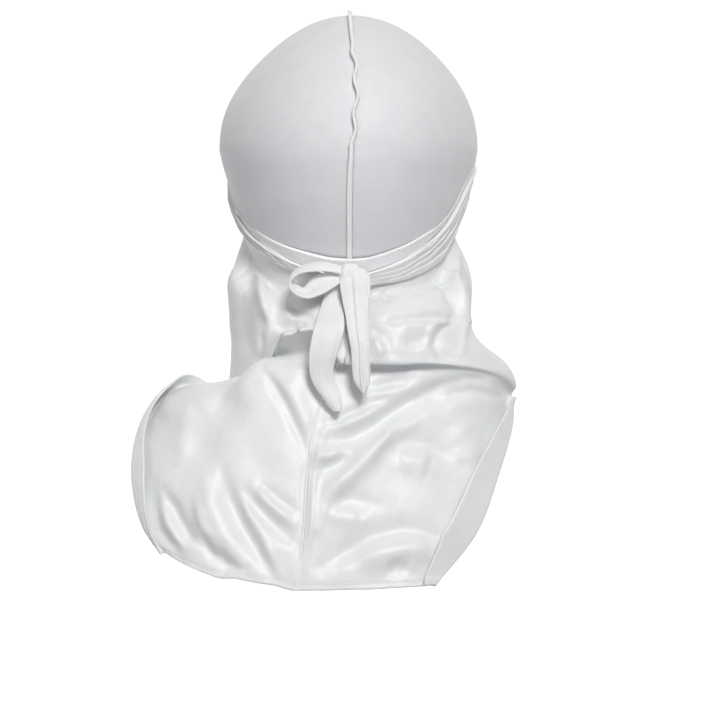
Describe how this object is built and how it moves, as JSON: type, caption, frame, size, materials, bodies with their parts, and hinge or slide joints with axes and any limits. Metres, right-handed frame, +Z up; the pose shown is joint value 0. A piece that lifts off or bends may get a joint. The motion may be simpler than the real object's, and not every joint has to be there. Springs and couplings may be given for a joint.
{
  "type": "durag worn and tied with a neck cape",
  "caption": "Satin durag in its worn shape: two-panel cap, pleated ties knotted in a small bow at the nape, and a gathered cape over the neck and shoulders.",
  "frame": {"origin": "top of the head, where the inside of the cap bears on it", "axes": "+Z up, the wearer faces +Y, +X is the wearer's right"},
  "size_m": [0.2412, 0.2147, 0.3667],
  "materials": {
    "crown_satin": "white satin pulled smooth over the head, soft sheen",
    "band_satin": "flat sewn white satin band with a row of stitches",
    "tie_satin": "white satin tie in tight lengthwise pleats",
    "bow_satin": "soft white cloth, nearly matte",
    "cape_satin": "glossy white satin with a matte reverse",
    "seam_thread": "raised seam, overlocked in white thread"
  },
  "bodies": {
    "root": {"crown_left": "crown_satin", "crown_right": "crown_satin", "crown_seam": "seam_thread", "nape_band": "band_satin", "brow_band": "band_satin", "tie_left": "tie_satin", "tie_right": "tie_satin", "bow_knot": "bow_satin", "bow_loop": "bow_satin", "tail_left": "bow_satin", "tail_right": "bow_satin", "cape_left": "cape_satin", "cape_right": "cape_satin", "cape_seam": "seam_thread"}
  },
  "joints": []
}
